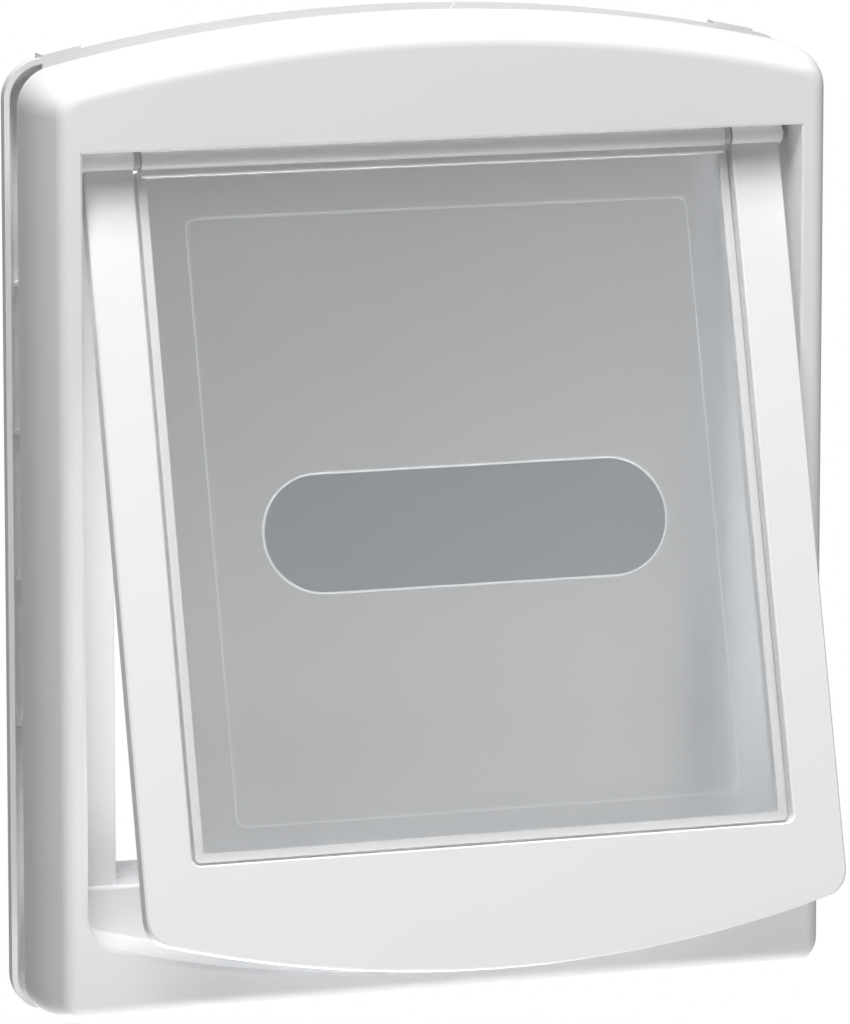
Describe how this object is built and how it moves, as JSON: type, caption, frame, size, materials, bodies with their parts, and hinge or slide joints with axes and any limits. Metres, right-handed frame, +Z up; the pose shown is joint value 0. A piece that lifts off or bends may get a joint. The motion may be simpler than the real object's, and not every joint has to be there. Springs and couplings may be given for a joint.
{
  "type": "cat flap",
  "caption": "White two-way cat flap for a door: arched outer and inner frames clamped by screws, and a white flap frame with a clear smoke panel, each hinged at the top, shown swung out.",
  "frame": {"origin": "The centre of the tunnel's opening, in the plane where the outer frame's rim meets the outside of the door. The door lies between Y = 0 and Y = +0.016 m.", "axes": "+X runs to the right as seen from outside, +Y points through the door into the room, +Z is up. The outer frame's face looks along -Y."},
  "size_m": [0.294, 0.1306, 0.3545],
  "materials": {
    "white_frame": "smooth white moulded plastic, half gloss",
    "white_flap": "smooth white moulded plastic, half gloss",
    "smoke_clear": "smoke-grey translucent moulded plastic, glossy",
    "rod_steel": "drawn steel rod",
    "bush_plastic": "natural grey plastic",
    "magnet_black": "black bonded magnet",
    "keeper_steel": "plated steel strip",
    "screw_steel": "zinc plated steel",
    "white_cap": "smooth white moulded plastic, half gloss"
  },
  "bodies": {
    "frames": {"outer_frame": "white_frame", "inner_frame": "white_frame", "hinge_rod": "rod_steel", "hinge_bush_left": "bush_plastic", "hinge_bush_right": "bush_plastic", "ledge_keeper": "keeper_steel", "frame_screw_top_left": "screw_steel", "frame_screw_top_right": "screw_steel", "frame_screw_bottom_left": "screw_steel", "frame_screw_bottom_right": "screw_steel", "screw_cap_top_left": "white_cap", "screw_cap_top_right": "white_cap", "screw_cap_bottom_left": "white_cap", "screw_cap_bottom_right": "white_cap"},
    "surround": {"flap_surround": "white_flap", "rail_magnet": "magnet_black", "panel_magnet": "magnet_black"},
    "panel": {"flap_panel": "smoke_clear", "panel_keeper": "keeper_steel"}
  },
  "joints": [
    {"name": "surround_hinge", "type": "hinge", "parent": "frames", "child": "surround", "pos_m": [0, -0.017, 0.1205], "axis": [-1, 0, 0], "range_deg": [-15.6, 74.4]},
    {"name": "panel_hinge", "type": "hinge", "parent": "surround", "child": "panel", "pos_m": [0, -0.017, 0.1205], "axis": [1, 0, 0], "range_deg": [0, 85]}
  ]
}
